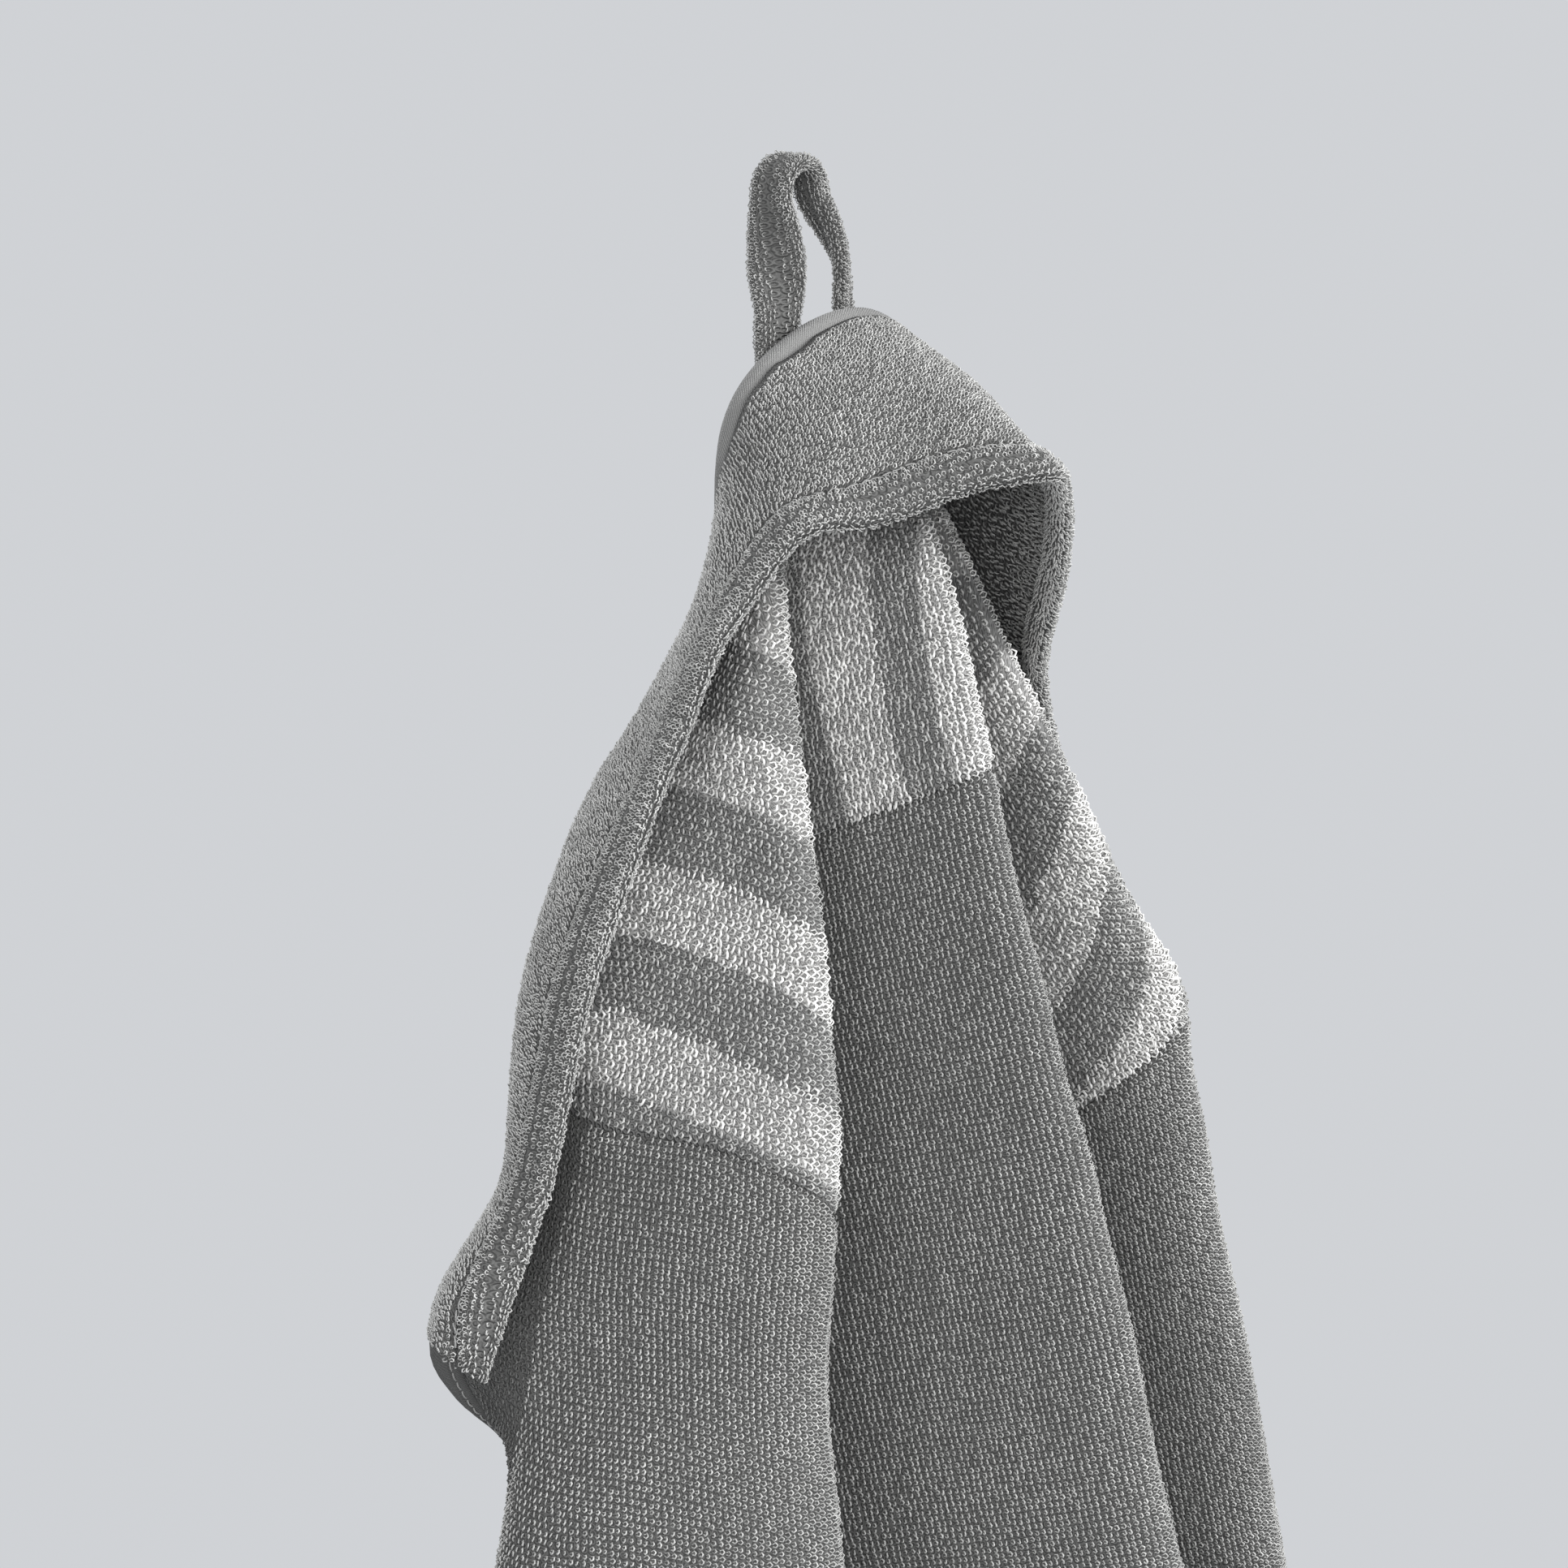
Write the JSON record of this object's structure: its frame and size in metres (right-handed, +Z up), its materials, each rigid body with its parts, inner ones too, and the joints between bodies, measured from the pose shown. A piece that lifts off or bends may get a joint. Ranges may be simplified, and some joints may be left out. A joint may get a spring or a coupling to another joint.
{
  "type": "hooded baby towel",
  "caption": "Grey terry hooded towel draped in deep forward folds below its sewn hanging loop, with a striped yoke, a turned hood hem and a bound edge.",
  "frame": {"origin": "underside of the loop's bend, middle of the strap's width, where it sits on a peg", "axes": "+X right along the wall, -Y away from the wall into the room, +Z up; the wall's face would lie near Y = +0.013 m"},
  "size_m": [0.4251, 0.1876, 1.0117],
  "materials": {
    "hanging_loop": "looped terry",
    "edge_binding": "twill tape",
    "yoke_left": "looped terry",
    "yoke_center": "looped terry",
    "yoke_right": "looped terry",
    "main_panel": "looped terry",
    "hood_panel": "looped terry",
    "hood_hem": "looped terry"
  },
  "bodies": {
    "loop": {"hanging_loop": "hanging_loop"},
    "towel": {"edge_binding": "edge_binding", "yoke_left": "yoke_left", "yoke_center": "yoke_center", "yoke_right": "yoke_right", "main_panel": "main_panel", "hood_panel": "hood_panel", "hood_hem": "hood_hem"}
  },
  "joints": [
    {"name": "towel_swing", "type": "hinge", "parent": "loop", "child": "towel", "pos_m": [0.004, -0.0035, -0.0305], "axis": [-1, 0, 0], "range_deg": [0, 20]}
  ]
}
